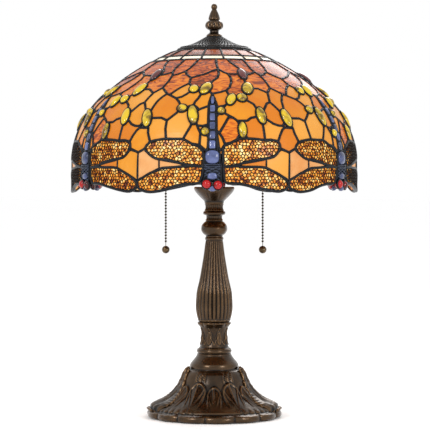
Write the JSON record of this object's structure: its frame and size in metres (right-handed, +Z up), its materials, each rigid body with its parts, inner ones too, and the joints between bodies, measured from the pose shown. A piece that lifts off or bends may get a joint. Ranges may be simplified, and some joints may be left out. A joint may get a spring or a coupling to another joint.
{
  "type": "table lamp",
  "caption": "Table lamp with a leaded dragonfly-pattern glass dome shade, bronze baluster base, two sockets and beaded pull chains.",
  "frame": {"origin": "centre of the underside of the felt pad, on the surface the lamp stands on", "axes": "+Z up along the stem, -Y towards the front with one dragonfly facing it, +X to the right, along the sockets"},
  "size_m": [0.406, 0.4194, 0.588],
  "materials": {
    "amber_glass": "mottled opalescent",
    "blue_glass": "opalescent",
    "brass": "aged",
    "bulb_glass": "frosted",
    "cream_glass": "opalescent",
    "dark_bronze": "dark brown patina",
    "dark_cabochon": "polished",
    "dark_solder": "dark patina",
    "felt": "felt",
    "filigree_metal": "dark patina",
    "gold_cabochon": "polished",
    "insulator": "moulded",
    "red_glass": "polished",
    "russet_glass": "rippled opalescent",
    "steel": "zinc plated",
    "top_glass": "rippled opalescent",
    "wing_glass": "mottled opalescent"
  },
  "bodies": {
    "lamp": {"amber_glass": "amber_glass", "aperture_ring": "dark_bronze", "base_neck": "dark_bronze", "bottom_plate": "steel", "bulb_bases": "steel", "bulb_glasses": "bulb_glass", "cap_rim": "dark_bronze", "chain_guides": "brass", "check_ring": "dark_bronze", "cluster_body": "dark_bronze", "contact_buttons": "brass", "cord_bushing": "insulator", "cream_band_glass": "cream_glass", "cup_nut": "steel", "dark_cabochons": "dark_cabochon", "dragonfly_bodies": "blue_glass", "dragonfly_eyes": "red_glass", "dragonfly_tails": "blue_glass", "felt_pad": "felt", "flared_cup": "dark_bronze", "fluted_baluster": "dark_bronze", "fluted_neck": "dark_bronze", "foot_casting": "dark_bronze", "foot_nut": "steel", "foot_washer": "steel", "gold_cabochons": "gold_cabochon", "leaf_collar": "dark_bronze", "lower_amber_glass": "amber_glass", "lower_wing_glass": "wing_glass", "ring_collar": "dark_bronze", "riser_coupling": "dark_bronze", "riser_rod": "steel", "russet_glass": "russet_glass", "screw_shells": "brass", "seat_nut": "steel", "seat_washer": "steel", "shade_spider": "dark_bronze", "socket_arms": "steel", "socket_caps": "brass", "socket_liners": "insulator", "socket_shells": "brass", "solder_ribs": "dark_solder", "solder_rings": "dark_solder", "stem_ball": "dark_bronze", "stem_tube": "steel", "top_row_glass": "top_glass", "upper_wing_glass": "wing_glass", "vent_cap": "dark_bronze", "wing_filigree": "filigree_metal"},
    "finial_knob": {"finial": "dark_bronze"},
    "finial_flange": {"finial_washer": "dark_bronze"},
    "left_pull": {"left_chain_lead": "brass", "left_chain_coupling": "brass"},
    "left_chain": {"left_pull_chain": "brass", "left_pull_ball": "brass"},
    "right_pull": {"right_chain_lead": "brass", "right_chain_coupling": "brass"},
    "right_chain": {"right_pull_chain": "brass", "right_pull_ball": "brass"}
  },
  "joints": [
    {"name": "finial_rise", "type": "slide", "parent": "lamp", "child": "finial_flange", "axis": [0, 0, 1], "range_m": [0, 0.0094]},
    {"name": "finial_turn", "type": "hinge", "parent": "finial_flange", "child": "finial_knob", "pos_m": [0, 0, 0.55], "axis": [0, 0, 1], "range_deg": [0, 3610]},
    {"name": "right_pull", "type": "slide", "parent": "lamp", "child": "right_pull", "axis": [0, 0, -1], "range_m": [0, 0.012], "stiffness_N_per_m": 400, "springref_m": -0.02},
    {"name": "right_swing", "type": "hinge", "parent": "right_pull", "child": "right_chain", "pos_m": [0.069, 0, 0.343], "axis": [0, -1, 0], "range_deg": [-20, 40]},
    {"name": "left_pull", "type": "slide", "parent": "lamp", "child": "left_pull", "axis": [0, 0, -1], "range_m": [0, 0.012], "stiffness_N_per_m": 400, "springref_m": -0.02},
    {"name": "left_swing", "type": "hinge", "parent": "left_pull", "child": "left_chain", "pos_m": [-0.069, 0, 0.343], "axis": [0, 1, 0], "range_deg": [-20, 40]}
  ],
  "couplings": [
    {"joint": "finial_turn", "follows": "finial_rise", "rad_per_m": 6684.2}
  ]
}
